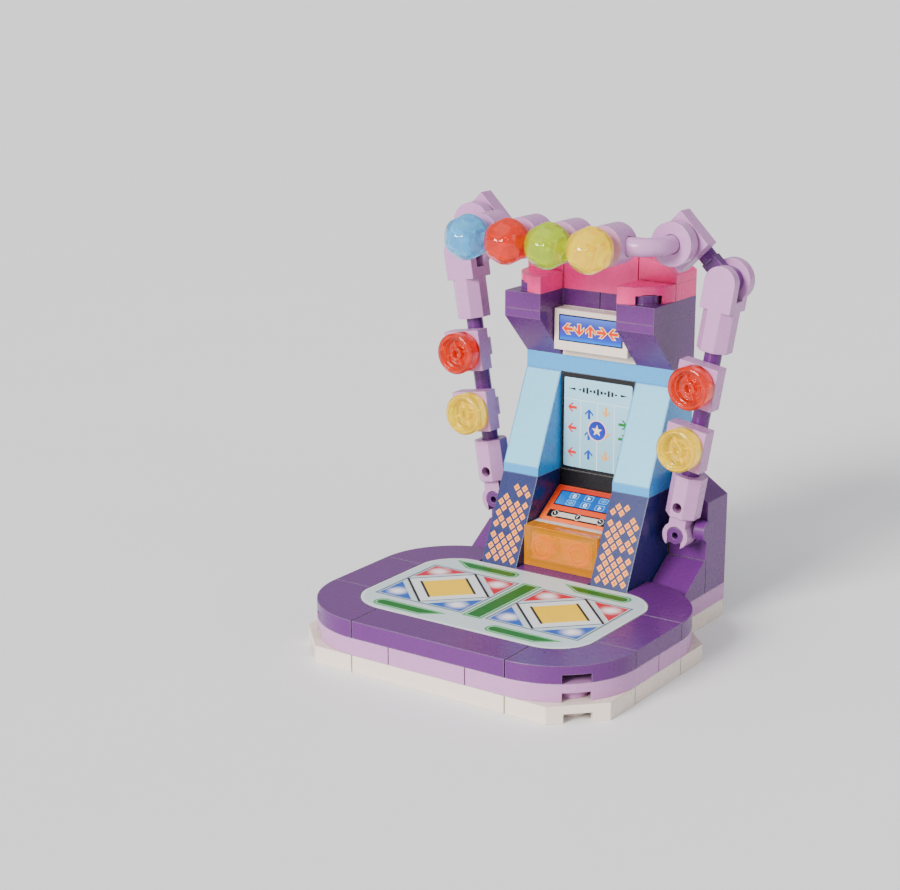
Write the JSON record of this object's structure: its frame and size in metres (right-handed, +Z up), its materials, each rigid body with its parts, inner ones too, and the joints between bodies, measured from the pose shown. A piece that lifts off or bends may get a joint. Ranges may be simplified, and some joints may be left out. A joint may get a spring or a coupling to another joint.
{
  "type": "toy dance rhythm machine",
  "caption": "Brick-built toy arcade dance machine with a printed dance pad, screen tower, hinged lamp arms and a row of clear lamp balls.",
  "frame": {"origin": "centre of the footprint on the surface it stands on", "axes": "+X to the right of a person facing the screen, +Y from the front of the pad to the back of the tower, +Z up"},
  "size_m": [0.0638, 0.0638, 0.0788],
  "materials": {
    "white_plastic": "glossy moulded",
    "lilac_plastic": "glossy moulded",
    "dark_purple_plastic": "glossy moulded",
    "pad_plastic": "glossy moulded with a printed sheet",
    "navy_plastic": "glossy moulded, printed front",
    "black_plastic": "glossy moulded",
    "azure_plastic": "glossy moulded",
    "pale_azure_plastic": "glossy moulded",
    "pink_plastic": "glossy moulded",
    "clear_orange_plastic": "clear glossy",
    "clear_red_plastic": "clear glossy",
    "clear_yellow_plastic": "clear glossy",
    "clear_blue_plastic": "clear glossy",
    "clear_green_plastic": "clear glossy"
  },
  "bodies": {
    "machine": {"azure_plate": "azure_plastic", "azure_slopes": "pale_azure_plastic", "base_back_plate": "white_plastic", "base_centre_plate": "white_plastic", "base_corner_plates": "white_plastic", "base_side_plates": "white_plastic", "crown_brick": "pink_plastic", "crown_corner_plates": "dark_purple_plastic", "crown_curves": "pink_plastic", "crown_plates": "pink_plastic", "crown_quarter_tiles": "pink_plastic", "dance_pad": "pad_plastic", "desk_bracket": "white_plastic", "desk_lamp_tile": "clear_orange_plastic", "desk_riser_plate": "black_plastic", "desk_slope": "white_plastic", "head_slopes": "dark_purple_plastic", "navy_slopes": "navy_plastic", "rim_corner_tiles": "dark_purple_plastic", "rim_floor_tile": "dark_purple_plastic", "rim_front_tile": "dark_purple_plastic", "rim_side_tiles": "dark_purple_plastic", "screen_brick": "black_plastic", "side_pins": "dark_purple_plastic", "sign_brick": "white_plastic", "sign_tile": "white_plastic", "step_back_plate": "lilac_plastic", "step_centre_plate": "lilac_plastic", "step_corner_plates": "lilac_plastic", "tower_back_bricks": "black_plastic", "tower_floor_plate": "black_plastic", "wall_bricks": "dark_purple_plastic", "wall_front_slopes": "dark_purple_plastic", "wall_plates": "dark_purple_plastic", "wall_top_slopes": "dark_purple_plastic"},
    "arm_left": {"arm_cup_left": "lilac_plastic", "arm_bar_left": "dark_purple_plastic", "arm_fork_left": "lilac_plastic"},
    "arm_right": {"arm_cup_right": "lilac_plastic", "arm_bar_right": "dark_purple_plastic", "arm_fork_right": "lilac_plastic"},
    "gantry": {"gantry_elbows": "dark_purple_plastic", "gantry_tiles": "lilac_plastic", "gantry_collars": "lilac_plastic", "gantry_hose": "lilac_plastic", "lamp_holders": "lilac_plastic"},
    "lamp_lower_left": {"lamp_tile_lower_left": "lilac_plastic", "lamp_lens_lower_left": "clear_yellow_plastic"},
    "lamp_lower_right": {"lamp_tile_lower_right": "lilac_plastic", "lamp_lens_lower_right": "clear_yellow_plastic"},
    "lamp_upper_left": {"lamp_tile_upper_left": "lilac_plastic", "lamp_lens_upper_left": "clear_red_plastic"},
    "lamp_upper_right": {"lamp_tile_upper_right": "lilac_plastic", "lamp_lens_upper_right": "clear_red_plastic"},
    "lamp_ball_blue": {"ball_blue": "clear_blue_plastic"},
    "lamp_ball_orange": {"ball_orange": "clear_red_plastic"},
    "lamp_ball_green": {"ball_green": "clear_green_plastic"},
    "lamp_ball_yellow": {"ball_yellow": "clear_yellow_plastic"}
  },
  "joints": [
    {"name": "arm_left_sway", "type": "hinge", "parent": "machine", "child": "arm_left", "pos_m": [-0.02, 0.0205, 0.0184], "axis": [0, 1, 0], "range_deg": [-5, 5]},
    {"name": "arm_right_sway", "type": "hinge", "parent": "machine", "child": "arm_right", "pos_m": [0.02, 0.0205, 0.0184], "axis": [0, 1, 0], "range_deg": [-5, 5]},
    {"name": "gantry_elbow", "type": "hinge", "parent": "arm_left", "child": "gantry", "pos_m": [-0.02785, 0.0205, 0.06636], "axis": [0, 1, 0], "range_deg": [-3.6, 3.6]},
    {"name": "lamp_lower_left_swivel", "type": "hinge", "parent": "arm_left", "child": "lamp_lower_left", "pos_m": [-0.02294, 0.0205, 0.03636], "axis": [-0.1616, 0, 0.9869], "range_deg": [-60, 25]},
    {"name": "lamp_lower_right_swivel", "type": "hinge", "parent": "arm_right", "child": "lamp_lower_right", "pos_m": [0.02294, 0.0205, 0.03636], "axis": [0.1616, 0, 0.9869], "range_deg": [-25, 60]},
    {"name": "lamp_upper_left_swivel", "type": "hinge", "parent": "arm_left", "child": "lamp_upper_left", "pos_m": [-0.02485, 0.0205, 0.04801], "axis": [-0.1616, 0, 0.9869], "range_deg": [-60, 25]},
    {"name": "lamp_upper_right_swivel", "type": "hinge", "parent": "arm_right", "child": "lamp_upper_right", "pos_m": [0.02485, 0.0205, 0.04801], "axis": [0.1616, 0, 0.9869], "range_deg": [-25, 60]},
    {"name": "ball_blue_spin", "type": "hinge", "parent": "gantry", "child": "lamp_ball_blue", "pos_m": [-0.01264, -0.0015, 0.07329], "axis": [0, 1, 0], "continuous": true},
    {"name": "ball_orange_spin", "type": "hinge", "parent": "gantry", "child": "lamp_ball_orange", "pos_m": [-0.00421, -0.0015, 0.07329], "axis": [0, 1, 0], "continuous": true},
    {"name": "ball_green_spin", "type": "hinge", "parent": "gantry", "child": "lamp_ball_green", "pos_m": [0.00421, -0.0015, 0.07329], "axis": [0, 1, 0], "continuous": true},
    {"name": "ball_yellow_spin", "type": "hinge", "parent": "gantry", "child": "lamp_ball_yellow", "pos_m": [0.01264, -0.0015, 0.07329], "axis": [0, 1, 0], "continuous": true}
  ],
  "couplings": [
    {"joint": "arm_right_sway", "follows": "arm_left_sway", "ratio": 1},
    {"joint": "gantry_elbow", "follows": "arm_left_sway", "ratio": -0.717}
  ]
}
